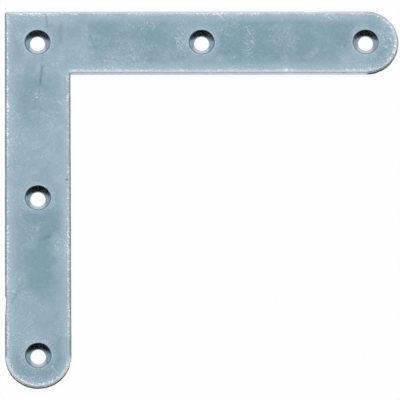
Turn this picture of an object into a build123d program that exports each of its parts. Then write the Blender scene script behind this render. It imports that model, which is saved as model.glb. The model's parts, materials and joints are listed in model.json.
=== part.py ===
from build123d import *
import os

# Flat corner plate: one L-shaped stamping with two round-ended arms and five countersunk screw
# holes. It lies on its back face with the countersinks facing up, +Z. The origin is on the axis
# of the corner hole, at the back face. One arm runs along +X and the other along -Y.
# Sizes are in millimetres.

# ---- driving dimensions ----
across_length = 120.0  # outer corner to the far end of the arm along +X
down_length = 120.0  # outer corner to the far end of the arm along -Y
arm_width = 20.0  # both arms, and the diameter of their full-round ends
thickness = 2.0  # gauge of the sheet

hole_diameter = 4.5  # clearance for a 4 mm countersunk screw
sink_diameter = 7.8  # mouth of the countersink at the face
sink_angle = 90.0  # included angle of the countersink, in degrees

outer_corner_radius = 0.9  # the square outer corner, as the blanking die leaves it
inner_corner_radius = 0.4  # root of the angle between the arms
rim_roll = 0.5  # rounding of the face's rim, where the die drew the sheet down

trim_setback = 28.5  # arm's far end back to the step where its end was trimmed round
trim_run = 7.0  # length over which the trim runs out to the arm's edge
trim_depth = 0.35  # bite of the trim at its step

# ---- places that follow from them ----
half_width = arm_width / 2
across_reach = across_length - arm_width  # corner hole to the hole centred in the round end
down_reach = down_length - arm_width
hole_places = [
    (0, 0),
    (across_reach / 2, 0),
    (across_reach, 0),
    (0, -down_reach / 2),
    (0, -down_reach),
]
across_step = across_reach + half_width - trim_setback
down_step = down_reach + half_width - trim_setback

with BuildPart() as plate:
    # The blank: two arms with half-round ends that share a square corner.
    with BuildSketch() as blank:
        with Locations((-half_width, 0)):
            Rectangle(across_reach + half_width, arm_width, align=(Align.MIN, Align.CENTER))
        with Locations((0, half_width)):
            Rectangle(arm_width, down_reach + half_width, align=(Align.CENTER, Align.MAX))
        with Locations((across_reach, 0), (0, -down_reach)):
            Circle(half_width)
        fillet(
            blank.vertices().sort_by_distance((-half_width, half_width))[0],
            radius=outer_corner_radius,
        )
        fillet(
            blank.vertices().sort_by_distance((half_width, -half_width))[0],
            radius=inner_corner_radius,
        )
    extrude(amount=thickness)

    # The face's rim, drawn down by the die all the way round. The back edge stays sharp.
    fillet(plate.faces().sort_by(Axis.Z)[-1].outer_wire().edges(), radius=rim_roll)

    # Where each end was trimmed round: a shallow step in the outer edge that runs out to nothing.
    with BuildSketch():
        with BuildLine():
            Polyline(
                (across_step, half_width),
                (across_step, half_width - trim_depth),
                (across_step + trim_run, half_width),
                close=True,
            )
        make_face()
        with BuildLine():
            Polyline(
                (-half_width, -down_step),
                (trim_depth - half_width, -down_step),
                (-half_width, -down_step - trim_run),
                close=True,
            )
        make_face()
    extrude(amount=thickness, mode=Mode.SUBTRACT)

    # Screw holes, countersunk from the face: the cone leaves a thin straight land at the back.
    with Locations(*[(x, y, thickness) for x, y in hole_places]):
        CounterSinkHole(
            radius=hole_diameter / 2,
            counter_sink_radius=sink_diameter / 2,
            counter_sink_angle=sink_angle,
        )

plate.part.label = "corner_plate"

os.makedirs("parts", exist_ok=True)
export_step(plate.part, "parts/corner_plate.step")
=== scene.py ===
"""Looks of a flat corner plate: a plated steel stamping on a pale floor, in soft studio light.

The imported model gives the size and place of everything. The plate's visible surface is worked out
here as one closed mesh in the same place, with the rolled rim, sheared wall and countersinks that
the press leaves. Lengths are in metres unless a name ends in _mm, and angles in degrees.
"""
import json
import logging
from dataclasses import dataclass, field
from enum import Enum
from math import radians
from typing import Any, Union

import bmesh
import bpy
import numpy as np
from mathutils import Matrix, Vector


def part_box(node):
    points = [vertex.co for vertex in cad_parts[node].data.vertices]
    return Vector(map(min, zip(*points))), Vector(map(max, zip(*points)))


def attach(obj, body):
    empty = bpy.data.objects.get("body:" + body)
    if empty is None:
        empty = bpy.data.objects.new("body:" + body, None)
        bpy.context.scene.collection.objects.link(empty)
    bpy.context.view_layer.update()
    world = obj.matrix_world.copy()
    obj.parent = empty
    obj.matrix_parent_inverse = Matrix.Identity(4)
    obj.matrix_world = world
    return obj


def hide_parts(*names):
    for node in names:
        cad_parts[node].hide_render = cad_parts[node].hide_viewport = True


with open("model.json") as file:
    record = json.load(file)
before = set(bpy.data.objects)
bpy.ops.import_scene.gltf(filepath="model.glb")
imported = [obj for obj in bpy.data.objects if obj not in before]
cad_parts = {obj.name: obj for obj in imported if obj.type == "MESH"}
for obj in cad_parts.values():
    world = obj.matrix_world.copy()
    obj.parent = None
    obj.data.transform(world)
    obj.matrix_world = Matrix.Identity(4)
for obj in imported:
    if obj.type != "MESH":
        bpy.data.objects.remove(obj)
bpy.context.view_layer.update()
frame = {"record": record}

MM = 0.001
NODE = "corner_plate"
BODY = "root"
WELD = 0.5e-6  # points nearer than this are one point
SHARP_TURN = 38.0  # an edge that turns more than this is shaded sharp
AIM_SHIFT = (-0.94 * MM, -0.49 * MM)  # where the view is centred, from midway between the end holes

log = logging.getLogger("corner_plate")
Colour = tuple[float, float, float, float]
WHITE: Colour = (1.0, 1.0, 1.0, 1.0)


def srgb(red: int, green: int, blue: int) -> Colour:
    """Turns a display colour into the linear one that a shader takes.

    Args:
        red, green, blue: Display levels from 0 to 255.

    Returns:
        The linear colour, with an alpha of 1. Each level is divided by 255 and raised as the
        display standard says: a straight line near black, and a power of 2.4 above it.
    """
    level = np.array([red, green, blue]) / 255
    linear = np.where(level <= 0.04045, level / 12.92, ((level + 0.055) / 1.055) ** 2.4)
    return (*linear.tolist(), 1.0)


def smoothstep(value: np.ndarray, low: float, high: float) -> np.ndarray:
    """Rises from 0 at low to 1 at high with no corner: 3 t squared minus 2 t cubed."""
    share = np.clip((value - low) / (high - low), 0, 1)
    return share * share * (3 - 2 * share)


# ---------------------------------------------------------------------------------------------
# Shape
# ---------------------------------------------------------------------------------------------


@dataclass(frozen=True)
class Stretch:
    """A run of outline points with the outward direction at each, in the plane of the sheet."""

    points: np.ndarray
    outward: np.ndarray

    @staticmethod
    def line(start: tuple[float, float], end: tuple[float, float], steps: int) -> "Stretch":
        """A straight edge, with the metal on its right hand.

        Args:
            start, end: The two ends. The end itself belongs to the next stretch.
            steps: How many points it gets.

        Returns:
            The stretch.
        """
        share = np.arange(steps)[:, None] / steps
        a, b = np.array(start, float), np.array(end, float)
        along = (b - a) / np.linalg.norm(b - a)
        outward = np.tile([-along[1], along[0]], (steps, 1))
        return Stretch(a + (b - a) * share, outward)

    @staticmethod
    def arc(
        centre: tuple[float, float],
        radius: float,
        turn: tuple[float, float],
        steps: int,
        hollow: bool = False,
    ) -> "Stretch":
        """A round edge: its centre plus its radius times the cosine and sine of the turn.

        Args:
            centre: Centre of the circle.
            radius: Its radius.
            turn: First and last angle, in degrees from +X.
            steps: How many points it gets, without the last angle's own.
            hollow: True where the metal is outside the circle, as in an inner corner.

        Returns:
            The stretch.
        """
        angle = np.radians(turn[0] + (turn[1] - turn[0]) * np.arange(steps) / steps)
        ray = np.stack([np.cos(angle), np.sin(angle)], 1)
        return Stretch(np.array(centre, float) + radius * ray, -ray if hollow else ray)


@dataclass(frozen=True)
class Nick:
    """A small bruise in the rim, where the plate knocked against others in the barrel."""

    x_mm: float
    y_mm: float
    width_mm: float
    depth_mm: float


@dataclass(frozen=True)
class Cloud:
    """A darker cloud in the plating: a box with a soft rim, in millimetres."""

    x: float
    y: float
    half_x: float
    half_y: float
    depth: float

    def strength(self, x: np.ndarray, y: np.ndarray) -> np.ndarray:
        """Depth over one plus the fourth power of the distance, measured in half sizes."""
        away = ((x - self.x) / self.half_x) ** 2 + ((y - self.y) / self.half_y) ** 2
        return self.depth / (1 + away**2)


@dataclass
class RingCell:
    """A patch of sheet round one hole: its outer loop, and the hole's centre."""

    outer: np.ndarray
    centre: tuple[float, float]


@dataclass
class MeshPile:
    """Gathers grids of points into the arrays of one mesh."""

    points: list[np.ndarray] = field(default_factory=list)
    quads: list[np.ndarray] = field(default_factory=list)
    count: int = 0

    def grid(self, rows: np.ndarray, closed: bool) -> None:
        """Adds a surface given as rows of points.

        Args:
            rows: Array of rows by columns by 3. Neighbours in it are neighbours on the surface.
            closed: True where each row joins up with its own start.
        """
        height, width = rows.shape[:2]
        index = self.count + np.arange(height * width).reshape(height, width)
        if closed:
            index = np.concatenate([index, index[:, :1]], 1)
        quads = np.stack([index[:-1, :-1], index[:-1, 1:], index[1:, 1:], index[1:, :-1]], -1)
        self.quads.append(quads.reshape(-1, 4))
        self.points.append(rows.reshape(-1, 3))
        self.count += height * width

    def mesh(self, name: str) -> bpy.types.Mesh:
        """Makes one closed mesh of the grids, welded where they meet, with its faces outwards.

        Args:
            name: Name of the new mesh.

        Returns:
            The mesh, shaded smooth except where it turns sharply.
        """
        points, quads = np.concatenate(self.points), np.concatenate(self.quads)
        mesh = bpy.data.meshes.new(name)
        mesh.vertices.add(len(points))
        mesh.vertices.foreach_set("co", points.astype(np.float32).ravel())
        mesh.loops.add(quads.size)
        mesh.loops.foreach_set("vertex_index", quads.astype(np.int32).ravel())
        mesh.polygons.add(len(quads))
        mesh.polygons.foreach_set("loop_start", np.arange(0, quads.size, 4, dtype=np.int32))
        mesh.update(calc_edges=True)
        weld = bmesh.new()
        weld.from_mesh(mesh)
        bmesh.ops.remove_doubles(weld, verts=weld.verts, dist=WELD)
        bmesh.ops.recalc_face_normals(weld, faces=weld.faces)
        weld.to_mesh(mesh)
        weld.free()
        mesh.shade_smooth()
        mesh.set_sharp_from_angle(angle=radians(SHARP_TURN))
        return mesh


@dataclass
class CornerPlate:
    """The stamped plate: outline, rolled rim, sheared wall, countersinks and back."""

    half_width: float
    thickness: float
    across_end: float  # x of the end hole of the arm along +X
    down_end: float  # y of the end hole of the arm along -Y
    holes: list[tuple[float, float]]
    hole_radius: float

    sink_radius: float = 3.9 * MM
    outer_corner: float = 0.9 * MM
    inner_corner: float = 0.4 * MM
    roll_reach: float = 0.60 * MM  # how far in from the edge the die drew the face down
    roll_drop: float = 0.34 * MM
    shear_share: float = 0.55  # share of the wall that is sheared smooth, from the face down
    torn_lean: float = 0.04 * MM  # how far the torn rest of the wall leans in
    back_break: float = 0.08 * MM  # height of the broken edge at the back
    face_waver: float = 0.045 * MM  # unevenness of the edge at the face
    torn_waver: float = 0.03 * MM  # and at the foot of the torn band
    swell_height: float = 0.006 * MM
    lip_height: float = 0.03 * MM  # of the burr round a countersink's mouth
    spacing: float = 0.35 * MM  # between points along the outline
    across_steps: int = 12  # points across an arm

    trim_setback: float = 28.5 * MM
    trim_run: float = 7.0 * MM
    trim_depth: float = 0.35 * MM
    cell_half: float = 9.0 * MM  # half length of the patch round a middle hole
    ring_steps: int = 10  # points from an edge in to a hole
    chatter: float = 0.008 * MM  # waviness of the countersinks' cones

    nicks: tuple[Nick, ...] = (
        Nick(7.3, 10.0, 0.7, 0.16),
        Nick(107.6, 6.5, 0.5, 0.22),
        Nick(10.0, -87.4, 1.0, 0.10),
        Nick(10.0, -102.0, 0.7, 0.16),
        Nick(10.0, -72.5, 0.8, 0.10),
        Nick(24.0, -10.0, 0.8, 0.10),
        Nick(-10.0, -77.0, 0.9, 0.08),
        Nick(76.0, -10.0, 0.7, 0.10),
        Nick(104.0, -9.2, 0.6, 0.12),
    )
    clouds: tuple[Cloud, ...] = (
        Cloud(19.0, 1.0, 4.5, 6.5, 0.70),
        Cloud(32.0, 0.0, 10.0, 7.0, 0.85),
        Cloud(61.0, 0.0, 8.0, 7.5, 0.95),
        Cloud(77.0, 0.5, 13.0, 7.0, 0.90),
        Cloud(93.0, 3.0, 4.0, 5.0, 0.75),
        Cloud(0.0, -18.0, 4.5, 10.0, 0.55),
        Cloud(0.5, -58.0, 7.0, 6.0, 0.90),
        Cloud(0.5, -72.5, 4.5, 9.0, 0.85),
        Cloud(-8.5, 0.0, 2.2, 4.5, 0.60),
        Cloud(5.5, -98.0, 3.5, 6.5, 0.55),
        Cloud(-6.5, -101.0, 3.0, 6.0, 0.45),
        Cloud(0.0, -105.0, 8.0, 3.0, 0.60),
        Cloud(105.0, -3.0, 3.0, 5.0, 0.45),
    )
    scuffs: tuple[Cloud, ...] = (
        Cloud(22.5, -9.0, 2.5, 2.0, 0.8),
        Cloud(30.0, -6.0, 5.0, 1.6, 0.7),
        Cloud(34.0, 5.5, 2.2, 1.2, 0.9),
        Cloud(43.5, 1.0, 1.8, 5.0, 0.9),
        Cloud(57.0, 5.0, 3.5, 4.0, 0.7),
        Cloud(64.5, 0.0, 1.6, 6.5, 0.9),
        Cloud(75.0, -8.4, 2.5, 1.4, 0.8),
        Cloud(90.0, 7.8, 2.5, 1.6, 0.9),
        Cloud(107.0, -2.0, 1.8, 4.5, 0.9),
        Cloud(103.0, -8.0, 3.5, 1.6, 0.8),
        Cloud(11.5, -6.8, 1.6, 1.0, 0.7),
        Cloud(0.0, -17.5, 2.2, 1.0, 0.9),
        Cloud(6.5, -19.0, 2.0, 1.2, 0.7),
        Cloud(-7.0, -79.0, 2.2, 3.0, 1.0),
        Cloud(8.5, -62.0, 1.5, 6.0, 0.7),
        Cloud(-3.0, -90.0, 2.0, 3.5, 0.5),
        Cloud(5.0, -105.0, 3.5, 2.5, 0.6),
        Cloud(-7.5, -28.0, 1.5, 12.0, 0.7),
        Cloud(-2.0, 8.5, 6.0, 1.5, 0.9),
        Cloud(-9.5, -70.0, 1.0, 8.0, 0.9),
        Cloud(-9.5, -93.0, 1.5, 8.0, 0.8),
        Cloud(-9.5, -15.0, 1.0, 18.0, 0.7),
        Cloud(9.8, -88.0, 1.0, 5.0, 0.9),
        Cloud(108.5, 0.0, 2.0, 9.0, 0.8),
        Cloud(0.0, -108.5, 8.0, 2.0, 0.6),
        Cloud(60.0, 9.5, 8.0, 1.0, 0.8),
    )

    def outline(self) -> tuple[np.ndarray, np.ndarray, dict[str, slice]]:
        """Walks once round the plate, clockwise from above.

        Returns:
            The points, the outward direction at each, and the slice of each named stretch.
        """
        h, ro, ri = self.half_width, self.outer_corner, self.inner_corner
        ex, ey = self.across_end, self.down_end
        arm = int(round((ex - h - ri) / self.spacing))
        side = int(round((-ey - h - ri) / self.spacing))
        block = int(round((2 * h + ri - ro) / self.spacing))
        end = int(round(np.pi * h / self.spacing))
        walk = {
            "top_block": Stretch.line((ro - h, h), (h + ri, h), block),
            "top_arm": Stretch.line((h + ri, h), (ex, h), arm),
            "across_round": Stretch.arc((ex, 0), h, (90, -90), end),
            "low_arm": Stretch.line((ex, -h), (h + ri, -h), arm),
            "inner": Stretch.arc((h + ri, -h - ri), ri, (90, 180), 8, hollow=True),
            "right_arm": Stretch.line((h, -h - ri), (h, ey), side),
            "down_round": Stretch.arc((0, ey), h, (0, -180), end),
            "left_arm": Stretch.line((-h, ey), (-h, -h - ri), side),
            "left_block": Stretch.line((-h, -h - ri), (-h, h - ro), block),
            "outer": Stretch.arc((ro - h, h - ro), ro, (180, 90), 10),
        }
        slices, start = {}, 0
        for name, stretch in walk.items():
            slices[name] = slice(start, start + len(stretch.points))
            start += len(stretch.points)
        points = np.concatenate([s.points for s in walk.values()])
        outward = np.concatenate([s.outward for s in walk.values()])
        return points, outward, slices

    def bite(self, points: np.ndarray, slices: dict[str, slice]) -> np.ndarray:
        """How far the edge stands back from its true line at each outline point.

        The end-rounding cut leaves a step in each outer edge: full depth at the step, run out in
        a straight line to nothing. A nick is a bell curve of the distance to its place.

        Args:
            points: The outline.
            slices: Its named stretches.

        Returns:
            The set-back of each point, in metres.
        """
        back = np.zeros(len(points))
        top, left = slices["top_arm"], slices["left_arm"]
        for where, travel in (
            (top, points[top][:, 0] - (self.across_end + self.half_width - self.trim_setback)),
            (left, (self.down_end - self.half_width + self.trim_setback) - points[left][:, 1]),
        ):
            back[where] += (
                self.trim_depth
                * smoothstep(travel, -0.5 * MM, 0.4 * MM)
                * np.clip(1 - travel / self.trim_run, 0, 1)
            )
        for nick in self.nicks:
            away = np.linalg.norm(points - np.array([nick.x_mm, nick.y_mm]) * MM, axis=1)
            back += nick.depth_mm * MM * np.exp(-((away / (nick.width_mm * MM / 2)) ** 2))
        return back

    def wander(self, count: int, seed: int, lengths: tuple[float, ...]) -> np.ndarray:
        """Smooth unevenness round a closed loop, between about -1 and 1.

        Each length gives white noise averaged over a bell of that length, all summed. The
        averaging multiplies the noise's Fourier terms by the bell's own.

        Args:
            count: Points round the loop.
            seed: Seed of the noise.
            lengths: Lengths of the unevenness, in metres along the edge.

        Returns:
            The unevenness at each point.
        """
        rng = np.random.default_rng(seed)
        waves = np.fft.rfftfreq(count, d=self.spacing)
        total = np.zeros(count)
        for length in lengths:
            noise = rng.standard_normal(count)
            soft = np.fft.irfft(np.fft.rfft(noise) * np.exp(-((waves * length) ** 2)), count)
            total += soft / soft.std()
        return total / (2 * len(lengths))

    def rim_profile(self) -> np.ndarray:
        """Section of the edge, from the face to the back.

        A quarter ellipse for the rolled rim, then the smooth sheared band, straight down, then
        the torn band, which leans in a little to a broken edge at the back.

        Returns:
            Inset and height, row by row.
        """
        lean, shear = self.torn_lean, self.shear_share * self.thickness
        turn = np.radians(np.linspace(0, 90, 10))
        inset = self.roll_reach * (1 - np.sin(turn))
        height = self.thickness - self.roll_drop * (1 - np.cos(turn))
        rows = [*zip(inset, height)]
        rows += [(0.0, z) for z in np.linspace(height[-1], self.thickness - shear, 4)[1:]]
        torn = np.linspace(self.thickness - shear, self.back_break, 7)[1:]
        rows += [(lean * (1 - z / (self.thickness - shear)), z) for z in torn]
        rows += [(0.02 * MM, 0.0), (0.25 * MM, 0.0)]
        return np.array(rows)

    def swell(self, x: np.ndarray, y: np.ndarray) -> np.ndarray:
        """Height of the face above a dead flat plane: three long shallow waves, summed.

        Args:
            x, y: Places on the face.

        Returns:
            The height at each.
        """
        waves = (
            np.sin(x / (7.3 * MM) + y / (19 * MM)),
            np.sin(y / (6.1 * MM) - x / (23 * MM) + 1.3),
            np.sin((x + y) / (4.2 * MM) + 0.4),
        )
        return self.swell_height * (waves[0] + waves[1] + 0.5 * waves[2])

    def raise_rows(self, flat: np.ndarray, height: np.ndarray) -> np.ndarray:
        """Gives rows of plane points their heights, and the face its swell.

        Args:
            flat: Array of rows by columns by 2.
            height: Height of each row.

        Returns:
            Rows by columns by 3. The swell fades to nothing at the back.
        """
        z = np.broadcast_to(height[:, None], flat.shape[:2])
        z = z + self.swell(flat[..., 0], flat[..., 1]) * np.clip(z / self.thickness, 0, 1) ** 2
        return np.concatenate([flat, z[..., None]], -1)

    def rim_rows(self) -> tuple[np.ndarray, dict[str, slice]]:
        """The whole edge as rows of points, from the face to the back.

        Each row is the outline moved in by the profile's inset, the set-back of the nicks and a
        little unevenness, which has one pattern at the face and another on the torn band.

        Returns:
            The rows, and the slice of each named stretch of the outline.
        """
        points, outward, slices = self.outline()
        profile = self.rim_profile()
        back = self.bite(points, slices)
        count = len(points)
        even = self.wander(count, 11, (0.9 * MM, 2.5 * MM, 9 * MM))
        torn = self.wander(count, 12, (0.7 * MM, 1.6 * MM))
        depth = 1 - profile[:, 1] / self.thickness
        face = np.clip(1 - profile[:, 0] / (self.roll_reach * 1.4), 0, 1)
        rough = self.face_waver * face[:, None] * even + self.torn_waver * (depth**2)[:, None] * torn
        rough -= rough.min(axis=1, keepdims=True)
        inset = profile[:, :1] + back * np.clip(face, 0.35, 1)[:, None] + rough
        flat = points[None] - inset[..., None] * outward[None]
        return self.raise_rows(flat, profile[:, 1]), slices

    def sink_profile(self) -> np.ndarray:
        """Section of a screw hole, from the face to the back.

        A low lip round the mouth, a small round into the cone, the cone at 45 degrees, and the
        straight land down to a broken edge at the back.

        Returns:
            Radius and height, row by row.
        """
        lip, top = self.lip_height, self.thickness
        land = top - (self.sink_radius - self.hole_radius)
        mouth = [
            (0.55 * MM, 0.0),
            (0.35 * MM, 0.4 * lip),
            (0.18 * MM, lip),
            (0.06 * MM, 0.7 * lip),
            (-0.03 * MM, -0.4 * lip),
            (-0.10 * MM, -0.10 * MM),
        ]
        rows = [(self.sink_radius + out, top + up) for out, up in mouth]
        radius = np.linspace(rows[-1][0], self.hole_radius + 0.05 * MM, 7)[1:]
        rows += [(r, top - (self.sink_radius - r)) for r in radius]
        rows += [(self.hole_radius, land - 0.03 * MM), (self.hole_radius, 0.06 * MM)]
        rows += [(self.hole_radius + 0.03 * MM, 0.0)]
        return np.array(rows)

    def cells(
        self, loop: np.ndarray, slices: dict[str, slice]
    ) -> tuple[list[RingCell], list[np.ndarray]]:
        """Cuts the sheet inside a loop into patches round the holes and plain strips between them.

        Args:
            loop: A closed row of the rim, as points by 3.
            slices: Its named stretches.

        Returns:
            The patches, and the strips, each as rows of points from one edge of an arm to the
            other.
        """
        count = len(loop)

        def run(name: str, first: int = 0, last: Union[int, None] = None) -> np.ndarray:
            """Points of a stretch from its first to its last, both included."""
            start = slices[name].start
            length = slices[name].stop - start
            stop = length if last is None else last
            return loop[(start + np.arange(first, stop + 1)) % count]

        def cut(a: np.ndarray, b: np.ndarray) -> np.ndarray:
            """Straight cut across an arm from a to b, ends included."""
            share = np.linspace(0, 1, self.across_steps + 1)[:, None]
            return a + (b - a) * share

        rings, strips = [], []
        arm_plan = (
            ("top_arm", "low_arm", "across_round", (self.across_end, 0.0), 0),
            ("left_arm", "right_arm", "down_round", (0.0, self.down_end), 1),
        )
        block = [run("top_block")]
        for outer, inner, end, centre, axis in arm_plan:
            near, far = run(outer), run(inner)
            if axis == 0:
                far = far[::-1]
            else:
                near = near[::-1]
            place = np.abs(near[:, axis])
            middle = np.hypot(*centre) / 2
            stops = [
                0,
                int(np.searchsorted(place, middle - self.cell_half)),
                int(np.searchsorted(place, middle + self.cell_half)),
                int(np.searchsorted(place, middle * 2 - self.cell_half)),
                len(near) - 1,
            ]
            for a, b in ((stops[0], stops[1]), (stops[2], stops[3])):
                share = np.linspace(0, 1, self.across_steps + 1)[:, None, None]
                strips.append(near[a : b + 1] + (far[a : b + 1] - near[a : b + 1]) * share)
            a, b = stops[1], stops[2]
            ring = np.concatenate(
                [near[a:b], cut(near[b], far[b])[:-1], far[b:a:-1], cut(far[a], near[a])[:-1]]
            )
            rings.append(RingCell(ring, (centre[0] / 2, centre[1] / 2)))
            a = stops[3]
            turn = run(end) if axis == 0 else run(end)[::-1]
            ring = np.concatenate([near[a:-1], turn[:-1], far[:a:-1], cut(far[a], near[a])[:-1]])
            rings.append(RingCell(ring, centre))
            block.append(cut(near[0], far[0]) if axis == 0 else cut(far[0], near[0]))
        block.insert(2, run("inner"))
        block += [run("left_block"), run("outer")]
        rings.append(RingCell(np.concatenate([part[:-1] for part in block]), (0.0, 0.0)))
        return rings, strips

    def loft(self, outer: np.ndarray, inner: np.ndarray, height: float) -> np.ndarray:
        """A flat patch between two loops with as many points: each point moves straight across.

        Args:
            outer, inner: The loops, as points in the plane.
            height: Height of the patch.

        Returns:
            Rows of points from the outer loop to the inner one.
        """
        share = np.linspace(0, 1, self.ring_steps)[:, None, None]
        return self.raise_rows(outer + (inner - outer) * share, np.full(self.ring_steps, height))

    def hole_rows(
        self, centre: np.ndarray, ray: np.ndarray, profile: np.ndarray, turn: float
    ) -> np.ndarray:
        """Turns the hole's section about its axis, with the faint lobes of a chattering tool.

        Args:
            centre: The axis, in the plane.
            ray: Directions from the axis, one for each point round the hole.
            profile: The section, as radius and height.
            turn: Angle that the lobes are turned by, in radians.

        Returns:
            Rows of points. The cone's radius has two cosines of the angle added, which fade out
            towards its mouth and its foot.
        """
        angle = np.arctan2(ray[:, 1], ray[:, 0])
        lobes = np.cos(7 * angle + turn) + 0.6 * np.cos(11 * angle + 2 * turn)
        down = (self.thickness - profile[:, 1]) / (self.sink_radius - self.hole_radius)
        on_cone = np.sin(np.pi * np.clip(down, 0, 1))
        radius = profile[:, :1] + self.chatter * on_cone[:, None] * lobes
        return self.raise_rows(centre + radius[..., None] * ray, profile[:, 1])

    def masks(self, points: np.ndarray) -> dict[str, np.ndarray]:
        """Values that the finish follows, at each point of the mesh.

        Args:
            points: The mesh's points.

        Returns:
            edge_mm: distance in from the plate's edge, in millimetres. In the square block it is
            the nearest of the two outer edges and the inner corner, elsewhere that of the arm.
            hole_mm: distance out from the nearest countersink's mouth, negative inside it.
            tarnish: the darker clouds of the plating, laid over one another.
            scuff: where the plate has rubbed against others, in the same way.
            cut: 1 on the ends that were cut round after the strip was plated.
            grime: painted shade on the drawn-down rim, which also dims its painted highlights:
            full along the arm along -Y and the outer edge beside it, part way on the other arm's
            cut end, and slight elsewhere.
        """
        x, y, h = points[:, 0], points[:, 1], self.half_width
        block = np.minimum(np.minimum(h - y, x + h), np.hypot(x - h, y + h))
        across = h - np.where(x > self.across_end, np.hypot(x - self.across_end, y), np.abs(y))
        down = h - np.where(y < self.down_end, np.hypot(x, y - self.down_end), np.abs(x))
        edge = np.where(x > h, across, np.where(y < -h, down, block))
        hole = np.min([np.hypot(x - cx, y - cy) for cx, cy in self.holes], axis=0) - self.sink_radius
        clear, whole = np.ones(len(points)), np.ones(len(points))
        for cloud in self.clouds:
            clear *= 1 - cloud.strength(x / MM, y / MM)
        for scuff in self.scuffs:
            whole *= 1 - scuff.strength(x / MM, y / MM)
        past = np.maximum(x - self.across_end, self.down_end - y)
        cut = smoothstep(past, -0.5 * MM, 1.5 * MM)
        upright = np.where(x > h, 0.0, np.where(y < -h, 1.0, x + h < h - y))
        return {
            "edge_mm": edge / MM,
            "hole_mm": hole / MM,
            "tarnish": 1 - clear,
            "scuff": 1 - whole,
            "cut": cut,
            "grime": upright * (1 - cut) * 0.85 + 0.5 * cut * (x > h) + 0.15,
        }

    def build(self) -> bpy.types.Object:
        """Makes the plate's closed mesh and its object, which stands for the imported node.

        Returns:
            The object, at the origin, with its place in its mesh.
        """
        pile = MeshPile()
        rows, slices = self.rim_rows()
        pile.grid(rows, closed=True)
        profile = self.sink_profile()
        rings, strips = self.cells(rows[0], slices)
        back_rings, back_strips = self.cells(rows[-1], slices)
        for strip, height in [(s, self.thickness) for s in strips] + [(s, 0.0) for s in back_strips]:
            pile.grid(self.raise_rows(strip[..., :2], np.full(len(strip), height)), closed=False)
        for number, (ring, back) in enumerate(zip(rings, back_rings)):
            centre = np.array(ring.centre)
            ray = ring.outer[:, :2] - centre
            ray /= np.linalg.norm(ray, axis=1, keepdims=True)
            mouth, foot = centre + profile[0, 0] * ray, centre + profile[-1, 0] * ray
            pile.grid(self.loft(ring.outer[:, :2], mouth, self.thickness), closed=True)
            pile.grid(self.hole_rows(centre, ray, profile, 1.7 * number), closed=True)
            pile.grid(self.loft(back.outer[:, :2], foot, 0.0), closed=True)
        mesh = pile.mesh("plate")
        points = np.empty(len(mesh.vertices) * 3, np.float32)
        mesh.vertices.foreach_get("co", points)
        for name, values in self.masks(points.reshape(-1, 3).astype(float)).items():
            attribute = mesh.attributes.new(name, "FLOAT", "POINT")
            attribute.data.foreach_set("value", values.astype(np.float32))
        plate = bpy.data.objects.new("plate", mesh)
        bpy.context.scene.collection.objects.link(plate)
        return plate


# ---------------------------------------------------------------------------------------------
# Finish
# ---------------------------------------------------------------------------------------------

Socket = bpy.types.NodeSocket
Number = Union["Value", float]


class NodeSheet:
    """The node tree of one material or world, with one method that adds any node."""

    def __init__(self, tree: bpy.types.NodeTree) -> None:
        """Starts on an empty tree."""
        self.tree = tree
        tree.nodes.clear()

    def add(
        self, kind: str, settings: dict[str, Any], inputs: dict[Union[str, int], Any]
    ) -> bpy.types.Node:
        """Adds a node.

        Args:
            kind: Blender's name for the node's type.
            settings: Its settings, such as a Math node's operation. They are set first.
            inputs: What goes into its sockets, by name or number: a socket to link, or a value.

        Returns:
            The node.
        """
        node = self.tree.nodes.new(kind)
        for name, setting in settings.items():
            setattr(node, name, setting)
        for name, given in inputs.items():
            given = given.socket if isinstance(given, Value) else given
            if isinstance(given, Socket):
                self.tree.links.new(given, node.inputs[name])
            else:
                node.inputs[name].default_value = given
        return node

    def value(self, socket: Socket) -> "Value":
        """Wraps a socket so that sums can be written with it."""
        return Value(self, socket)

    def attribute(self, name: str) -> "Value":
        """A number that the mesh carries at each point."""
        node = self.add("ShaderNodeAttribute", {"attribute_name": name}, {})
        return self.value(node.outputs["Fac"])

    def smooth(self, number: Number, low: float, high: float) -> "Value":
        """Rises smoothly between two levels, or falls where low is the greater.

        Args:
            number: What the result follows.
            low, high: Its levels where the result is 0 and 1.

        Returns:
            The result, from 0 to 1.
        """
        node = self.add(
            "ShaderNodeMapRange",
            {"interpolation_type": "SMOOTHSTEP"},
            {"Value": number, "From Min": low, "From Max": high},
        )
        return self.value(node.outputs["Result"])

    def noise(self, where: Socket, size: float, detail: float = 3.0, stretch: float = 0.0) -> "Value":
        """Cloudy noise from 0 to 1.

        Args:
            where: The coordinates, in millimetres.
            size: Rough size of its clouds, in millimetres.
            detail: How many finer layers it has.
            stretch: How far it is pulled about.

        Returns:
            The noise.
        """
        node = self.add(
            "ShaderNodeTexNoise",
            {},
            {"Vector": where, "Scale": 1 / size, "Detail": detail, "Distortion": stretch},
        )
        return self.value(node.outputs["Fac"])

    def vector(self, operation: str, *inputs: Any) -> bpy.types.Node:
        """A Vector Math node."""
        return self.add("ShaderNodeVectorMath", {"operation": operation}, dict(enumerate(inputs)))

    def scaled(self, vector: Any, factor: Number) -> Socket:
        """A vector times a number."""
        inputs = {0: vector, "Scale": factor}
        return self.add("ShaderNodeVectorMath", {"operation": "SCALE"}, inputs).outputs["Vector"]

    def blend(self, share: Number, under: Union[Socket, Colour], over: Union[Socket, Colour]) -> Socket:
        """Mixes two colours.

        Args:
            share: How much of the second shows. It is kept from 0 to 1.
            under, over: The colours where share is 0 and 1.

        Returns:
            The mixed colour.
        """
        node = self.add(
            "ShaderNodeMix",
            {"data_type": "RGBA", "clamp_factor": True},
            {"Factor": share, 6: under, 7: over},
        )
        return node.outputs[2]


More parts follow.
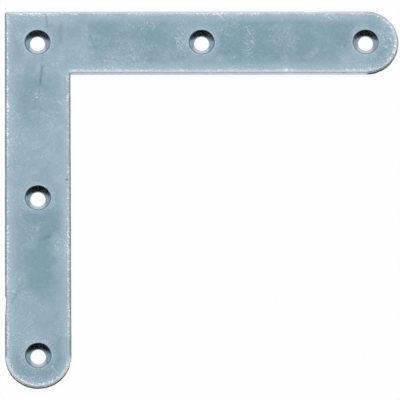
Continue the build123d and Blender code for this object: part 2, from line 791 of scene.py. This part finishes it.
@dataclass(frozen=True)
class Value:
    """A number socket. Python's operators on it add Math nodes."""

    sheet: NodeSheet
    socket: Socket

    def maths(self, operation: str, *numbers: Number) -> "Value":
        """Adds a Math node on the given numbers."""
        node = self.sheet.add("ShaderNodeMath", {"operation": operation}, dict(enumerate(numbers)))
        return Value(self.sheet, node.outputs[0])

    def __add__(self, other: Number) -> "Value":
        """This plus other."""
        return self.maths("ADD", self, other)

    __radd__ = __add__

    def __sub__(self, other: Number) -> "Value":
        """This less other."""
        return self.maths("SUBTRACT", self, other)

    def __rsub__(self, other: Number) -> "Value":
        """Other less this."""
        return self.maths("SUBTRACT", other, self)

    def __mul__(self, other: Number) -> "Value":
        """This times other."""
        return self.maths("MULTIPLY", self, other)

    __rmul__ = __mul__

    def clamp(self) -> "Value":
        """This, kept from 0 to 1."""
        return self.maths("MINIMUM", self.maths("MAXIMUM", self, 0.0), 1.0)


@dataclass(frozen=True)
class Scratch:
    """A drawn mark on the face, from one point to another, in millimetres."""

    start: tuple[float, float]
    end: tuple[float, float]
    width: float
    depth: float


@dataclass(frozen=True)
class ZincPlate:
    """Bright zinc on steel: blue-grey, clouded darker along the arms, scuffed pale in places, with
    painted highlights and painted glints along the rims and painted shade on some of them.
    """

    thickness_mm: float
    dark: Colour = srgb(119, 148, 160)
    pale: Colour = srgb(162, 180, 191)
    # Pale rubbed zinc, also used for the painted highlight line along the rim and round each
    # countersink's mouth.
    worn_and_sheen: Colour = srgb(198, 212, 221)
    # Painted highlight on the rolled rim, and painted glints along it.
    painted_highlight: Colour = srgb(236, 243, 248)
    # Painted shade: the dark outline along the rim's outer edge.
    outline: Colour = srgb(100, 112, 120)
    wall: Colour = srgb(222, 230, 235)
    # Bare steel on the cut ends, made near black as painted shade at the wall's foot.
    bare_steel_and_shade: Colour = srgb(26, 30, 34)
    sink: Colour = srgb(186, 201, 210)
    # Dark drawn marks, and the painted shade ring round each countersink's mouth.
    stain_and_shade: Colour = srgb(82, 108, 122)
    metallic: float = 0.88  # outside the countersinks, which are wholly metallic

    # How pale the plating is, from 0 for dark to 1 for pale.
    level: float = 0.50  # of the plain face
    dulling: float = 0.56  # what the dark clouds take off
    edge_lift: float = 0.26  # what the worn bands along the edges add
    hole_lift: float = 0.10  # what the worn rings round the holes add
    cut_dulling: float = 0.16  # what the cut ends take off

    rub_turn: float = -52.0  # direction of the light scrapes, from +X
    rub_stretch: tuple[float, float, float] = (4.0, 0.7, 1.0)  # how much longer they are than wide
    roughness: float = 0.40  # of the plain face
    rolled_rough: float = 0.28  # what the drawn-down rim adds to it
    cut_rough: float = 0.3  # what the cut ends' wall adds
    sink_smooth: float = 0.22  # what the countersinks take off
    bump_strength: float = 0.35
    bump_height: float = 0.02 * MM

    scratches: tuple[Scratch, ...] = (
        Scratch((1.5, -4.2), (1.2, -9.0), 0.8, 0.22),
        Scratch((1.4, -8.0), (0.8, -13.0), 0.7, 0.42),
        Scratch((0.9, -11.0), (0.4, -16.5), 0.8, 0.18),
        Scratch((2.5, 9.2), (3.0, 4.6), 0.7, 0.30),
        Scratch((8.8, -44.3), (8.8, -44.2), 0.6, 1.0),
        Scratch((16.0, 2.0), (16.6, 0.2), 1.0, 0.28),
        Scratch((7.2, 6.0), (7.0, 0.5), 1.4, 0.16),
        Scratch((-8.2, -83.5), (-5.8, -79.5), 0.9, 0.15),
        Scratch((-6.4, -80.5), (-4.8, -77.0), 0.9, 0.15),
        Scratch((0.5, -63.5), (3.0, -62.6), 1.0, 0.25),
        Scratch((2.6, -62.8), (5.5, -60.0), 1.0, 0.25),
    )

    def marks(self, sheet: NodeSheet, where: Socket, wobble: Value) -> Value:
        """Dark drawn marks: 1 on a mark's line, fading out over its width.

        The distance to a line from a to b is the length of p - a - t(b - a), with t the place of
        the foot of the perpendicular, kept between the ends.

        Args:
            sheet: The material's nodes.
            where: The coordinates, in millimetres.
            wobble: Noise about 0 that makes the marks' sides uneven.

        Returns:
            The marks, each at its own depth, summed.
        """
        total: Number = 0.0
        for mark in self.scratches:
            a, b = Vector((*mark.start, 0.0)), Vector((*mark.end, 0.0))
            from_a = sheet.vector("SUBTRACT", where, a).outputs["Vector"]
            ray = (b - a) / (b - a).length_squared
            foot = sheet.value(sheet.vector("DOT_PRODUCT", from_a, ray).outputs["Value"])
            line = sheet.scaled(b - a, foot.clamp())
            away = sheet.vector("SUBTRACT", from_a, line).outputs["Vector"]
            flat = sheet.vector("MULTIPLY", away, (1.0, 1.0, 0.0)).outputs["Vector"]
            gap = sheet.value(sheet.vector("LENGTH", flat).outputs["Value"])
            total = total + (1 - sheet.smooth(gap + wobble * 0.3, 0.0, mark.width)) * mark.depth
        return total

    def material(self) -> bpy.types.Material:
        """Makes the material.

        Returns:
            The material. It reads the object's own coordinates and the plate's attributes.
        """
        material = bpy.data.materials.new("zinc_plate")
        material.use_nodes = True
        sheet = NodeSheet(material.node_tree)
        place = sheet.add("ShaderNodeTexCoord", {}, {}).outputs["Object"]
        where = sheet.scaled(place, 1 / MM)
        height = sheet.value(sheet.add("ShaderNodeSeparateXYZ", {}, {0: where}).outputs["Z"])
        edge, hole = sheet.attribute("edge_mm"), sheet.attribute("hole_mm")
        tarnish, cut = sheet.attribute("tarnish"), sheet.attribute("cut")
        scuff, grime = sheet.attribute("scuff"), sheet.attribute("grime")
        slant = sheet.add(
            "ShaderNodeMapping",
            {"vector_type": "TEXTURE"},
            {
                "Vector": where,
                "Rotation": (0.0, 0.0, radians(self.rub_turn)),
                "Scale": self.rub_stretch,
            },
        ).outputs["Vector"]

        # The clouded plating, paler along the edges and round the holes.
        cloud = sheet.noise(where, 9.0, 4.0, 0.6)
        mottle = sheet.noise(where, 2.4, 4.0, 0.8)
        grain = sheet.noise(where, 0.45, 3.0)
        inside = sheet.smooth(hole, 0.02, -0.10)
        drop = self.thickness_mm - height
        wall = sheet.smooth(drop, 0.28, 0.50) * (1 - inside)

        band = 1 - sheet.smooth(edge + (cloud - 0.5) * 5.0 + (mottle - 0.5) * 2.0, 1.0, 4.0)
        ring = 1 - sheet.smooth(hole + (mottle - 0.5) * 2.0, 0.4, 2.6)
        dull = tarnish * (1 - band) * (1 - ring * 0.5)
        light = self.level - dull * self.dulling + band * self.edge_lift
        light = light + ring * self.hole_lift - cut * self.cut_dulling
        light = light + (cloud - 0.5) * 1.1 + (mottle - 0.5) * 0.8 + (grain - 0.5) * 0.3
        face = sheet.blend(light.clamp(), self.dark, self.pale)

        # Pale flecks and scrapes where it has rubbed, and the dark drawn marks.
        rub = scuff + sheet.smooth(cloud, 0.48, 0.60) * 0.45 + ring * 0.5 + 0.22
        fleck = sheet.smooth(sheet.noise(where, 0.42, 2.0, 1.6), 0.56, 0.66) * rub
        scrape = sheet.smooth(sheet.noise(slant, 0.6, 2.0, 0.8), 0.60, 0.68) * scuff
        face = sheet.blend((fleck + scrape) * 0.7, face, self.worn_and_sheen)
        marks = self.marks(sheet, where, mottle - 0.5)
        face = sheet.blend(marks, face, self.stain_and_shade)

        # The rim: a painted highlight line with painted glints, a painted highlight over the rolled
        # rim, then a dark outline of painted shade, strong on the arm along -Y and the outer edge
        # beside it, where the painted highlights are held back.
        nib = sheet.noise(where, 0.46, 3.0, 1.0)
        patch = sheet.smooth(sheet.noise(where, 5.0, 2.0), 0.34, 0.56)
        # A painted highlight line along the rim, and a band just inside it where painted glints go.
        line = sheet.smooth(edge - grime * 0.5, -0.1, 0.12) * (1 - sheet.smooth(edge, 0.78, 1.10))
        speck = sheet.smooth(edge, 0.40, 0.60) * (1 - sheet.smooth(edge, 0.90, 1.60))
        lip = (1 - sheet.smooth(hole, 0.20, 0.60)) * (1 - inside)
        # Where painted glints go: a band inside the rim, more where it is rubbed, and round each
        # countersink.
        glint_spots = (speck * (patch * 0.55 + scuff * 0.6) + lip * 0.25).clamp()
        glints = glint_spots * sheet.smooth(nib, 0.50, 0.60)
        # Painted highlight: a pale line along the rim and a pale ring round each countersink's mouth.
        face = sheet.blend(line * (1 - grime) * 0.42 + lip * 0.30, face, self.worn_and_sheen)
        rolled = 1 - sheet.smooth(edge, 0.35, 0.80)
        # Painted highlight over the rolled rim, stronger on the cut ends.
        face = sheet.blend(rolled * (1 - grime) * (0.60 + cut * 0.25), face, self.painted_highlight)
        # Painted glints.
        face = sheet.blend(glints, face, self.painted_highlight)
        # Painted shade: a dark outline along the rim.
        rim = (1 - sheet.smooth(edge + (nib - 0.5) * 0.5, 0.10, 0.48)) * grime
        face = sheet.blend(rim * (0.35 + sheet.smooth(nib, 0.56, 0.44) * 0.55), face, self.outline)

        # The wall, with bare steel on the cut ends darkened as painted shade at its foot, and the
        # countersinks with a ring of painted shade at their brink.
        side = sheet.blend((grain * 1.2).clamp(), self.wall, self.worn_and_sheen)
        # Painted shade: the lower wall of the cut ends is made near black, bare steel darkened to stand
        # in for the shadow at its foot.
        side = sheet.blend(cut * sheet.smooth(drop, 0.45, 0.70) * 0.98, side, self.bare_steel_and_shade)
        colour = sheet.blend(wall, face, side)
        colour = sheet.blend(inside, colour, self.sink)
        # Painted shade: a dark ring at each countersink's brink.
        brink_shade = sheet.smooth(hole, -0.36, -0.06) * (1 - sheet.smooth(hole, 0.08, 0.30))
        colour = sheet.blend(brink_shade * 0.75, colour, self.stain_and_shade)

        rough = self.roughness + (mottle - 0.5) * 0.18 - glints * 0.15
        on_wall = 0.12 + cut * self.cut_rough - rolled * self.rolled_rough
        rough = rough + rolled * self.rolled_rough + wall * on_wall - inside * self.sink_smooth
        relief = (grain + mottle * 0.6 - marks * 1.5 + nib * speck) * (1 - inside)
        bump = sheet.add(
            "ShaderNodeBump",
            {},
            {"Strength": self.bump_strength, "Distance": self.bump_height, "Height": relief},
        )
        shader = sheet.add(
            "ShaderNodeBsdfPrincipled",
            {},
            {
                "Base Color": colour,
                "Metallic": self.metallic + inside * (1 - self.metallic),
                "Roughness": rough,
                "Normal": bump.outputs["Normal"],
            },
        )
        sheet.add("ShaderNodeOutputMaterial", {}, {"Surface": shader.outputs["BSDF"]})
        return material


# ---------------------------------------------------------------------------------------------
# Studio
# ---------------------------------------------------------------------------------------------


class Rays(Enum):
    """Light Path outputs that see the white surroundings as they are."""

    CAMERA = "Is Camera Ray"
    GLOSSY = "Is Glossy Ray"
    THROUGH = "Is Transmission Ray"


def seen_directly(sheet: NodeSheet) -> Value:
    """Tells rays that look at the surroundings, straight or in a reflection, from those that light.

    Args:
        sheet: The nodes of the material or world that asks.

    Returns:
        1 for the rays that look and 0 for the rest.
    """
    path = sheet.add("ShaderNodeLightPath", {}, {})
    camera, glossy, through = (sheet.value(path.outputs[ray.value]) for ray in Rays)
    return (camera + glossy + through).clamp()


@dataclass(frozen=True)
class Lamp:
    """A square soft light that faces a point of the plate."""

    name: str
    place: tuple[float, float, float]
    size: float
    power: float


@dataclass
class Studio:
    """Floor, surroundings, lamps and camera."""

    aim: tuple[float, float, float]
    distance: float = 2.4
    tilt: float = 18.68  # of the view from straight down, towards -Y
    turn: float = 1.34  # towards -X
    roll: float = -0.52
    seen_width: float = 0.1211  # width of the view at the plate
    film_width: float = 36.0  # in millimetres
    clip: tuple[float, float] = (0.1, 100.0)
    floor_half: float = 6.0
    floor_gap: float = 0.05 * MM  # keeps the floor clear of the back face
    floor_glow: float = 0.94  # share of the floor that is plain white to the eye
    sky_fill: float = 0.9  # light that the surroundings give
    paper: Colour = (0.9, 0.9, 0.9, 1.0)
    card: Colour = (0.004, 0.004, 0.004, 1.0)
    card_folds: tuple[tuple[float, ...], ...] = (  # x, y, foot and top where the card bends or ends
        (-0.27, 0.13, 0.002, 0.022),
        (-0.45, -0.33, 0.020, 0.240),
        (0.20, -0.09, 0.004, 0.070),
        (0.30, 0.12, 0.002, 0.022),
    )
    lamps: tuple[Lamp, ...] = (
        Lamp("key_left", (-0.55, 0.55, 0.55), 0.35, 0.4),
        Lamp("key_right", (0.65, 0.55, 0.55), 0.35, 0.4),
        Lamp("top", (0.05, 0.35, 1.1), 0.8, 0.6),
    )

    def floor(self) -> None:
        """Lays the floor: a flat square, white to the eye but still taking the shadow."""
        h, z = self.floor_half, -self.floor_gap
        mesh = bpy.data.meshes.new("floor")
        mesh.from_pydata([(-h, -h, z), (h, -h, z), (h, h, z), (-h, h, z)], [], [(0, 1, 2, 3)])
        material = bpy.data.materials.new("floor")
        material.use_nodes = True
        sheet = NodeSheet(material.node_tree)
        paper = sheet.add("ShaderNodeBsdfDiffuse", {}, {"Color": self.paper})
        glow = sheet.add("ShaderNodeEmission", {}, {"Color": WHITE, "Strength": 1.0})
        mixed = sheet.add(
            "ShaderNodeMixShader",
            {},
            {0: seen_directly(sheet) * self.floor_glow, 1: paper.outputs[0], 2: glow.outputs[0]},
        )
        sheet.add("ShaderNodeOutputMaterial", {}, {"Surface": mixed.outputs[0]})
        mesh.materials.append(material)
        floor = bpy.data.objects.new("floor", mesh)
        bpy.context.scene.collection.objects.link(floor)

    def flag(self) -> None:
        """Stands a black card round the front and sides, out of sight, for the metal to mirror."""
        corners = [(x, y, z) for x, y, *ends in self.card_folds for z in ends]
        panels = [(i, i + 2, i + 3, i + 1) for i in range(0, len(corners) - 2, 2)]
        mesh = bpy.data.meshes.new("flag")
        mesh.from_pydata(corners, [], panels)
        material = bpy.data.materials.new("flag")
        material.use_nodes = True
        sheet = NodeSheet(material.node_tree)
        black = sheet.add("ShaderNodeBsdfDiffuse", {}, {"Color": self.card})
        sheet.add("ShaderNodeOutputMaterial", {}, {"Surface": black.outputs[0]})
        mesh.materials.append(material)
        flag = bpy.data.objects.new("flag", mesh)
        bpy.context.scene.collection.objects.link(flag)
        flag.visible_camera = False
        flag.visible_diffuse = False
        flag.visible_shadow = False

    def surroundings(self) -> None:
        """Makes the world white to the eye and in reflections, and gentler as a light."""
        world = bpy.data.worlds.new("studio")
        world.use_nodes = True
        sheet = NodeSheet(world.node_tree)
        strength = self.sky_fill + seen_directly(sheet) * (1 - self.sky_fill)
        sky = sheet.add("ShaderNodeBackground", {}, {"Color": WHITE, "Strength": strength})
        sheet.add("ShaderNodeOutputWorld", {}, {"Surface": sky.outputs[0]})
        bpy.context.scene.world = world

    def light(self) -> None:
        """Hangs the lamps, each turned to the plate."""
        for lamp in self.lamps:
            data = bpy.data.lights.new(lamp.name, "AREA")
            data.shape, data.size, data.energy = "SQUARE", lamp.size, lamp.power
            light = bpy.data.objects.new(lamp.name, data)
            place = Vector(lamp.place)
            light.matrix_world = Matrix.Translation(place) @ (
                (place - Vector(self.aim)).to_track_quat("Z", "Y").to_matrix().to_4x4()
            )
            bpy.context.scene.collection.objects.link(light)

    def camera(self) -> None:
        """Sets the camera: turned, tilted and rolled about the aim, then backed off from it."""
        data = bpy.data.cameras.new("camera")
        data.sensor_width = self.film_width
        data.lens = data.sensor_width * self.distance / self.seen_width
        data.clip_start, data.clip_end = self.clip
        camera = bpy.data.objects.new("camera", data)
        facing = (
            Matrix.Rotation(-radians(self.turn), 4, "Y")
            @ Matrix.Rotation(radians(self.tilt), 4, "X")
            @ Matrix.Rotation(radians(self.roll), 4, "Z")
        )
        camera.matrix_world = (
            Matrix.Translation(Vector(self.aim)) @ facing @ Matrix.Translation((0, 0, self.distance))
        )
        bpy.context.scene.collection.objects.link(camera)
        bpy.context.scene.camera = camera

    def build(self) -> None:
        """Sets up everything round the plate."""
        self.floor()
        self.flag()
        self.surroundings()
        self.light()
        self.camera()
        bpy.context.scene.view_settings.view_transform = "Standard"


def plate_from_frame() -> CornerPlate:
    """Reads the plate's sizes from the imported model.

    Returns:
        The plate: its width from the corner hole to the outer edges, its ends and hole radius
        from the record's screw holes, and its thickness from the node's box.
    """
    low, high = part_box(NODE)
    bores = [mount for mount in frame["record"]["mounts"] if mount["kind"] == "bore"]
    holes = [tuple(bore["pos_m"][:2]) for bore in bores]
    return CornerPlate(
        half_width=-low.x,
        thickness=high.z - low.z,
        across_end=max(x for x, _ in holes),
        down_end=min(y for _, y in holes),
        holes=holes,
        hole_radius=bores[0]["dims"]["r_mm"] * MM,
    )


def main() -> None:
    """Builds the plate and the studio, and reports each piece."""
    logging.basicConfig(level=logging.INFO, format="%(message)s")
    form = plate_from_frame()
    plate = form.build()
    plate.data.materials.append(ZincPlate(form.thickness / MM).material())
    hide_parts(NODE)
    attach(plate, BODY)
    log.info("%s: %d faces", plate.name, len(plate.data.polygons))

    aside, below = AIM_SHIFT
    middle = (form.across_end / 2 + aside, form.down_end / 2 + below, form.thickness / 2)
    Studio(aim=middle).build()
    log.info("studio: floor, flag, lamps and camera")


if __name__ == "__main__":
    main()
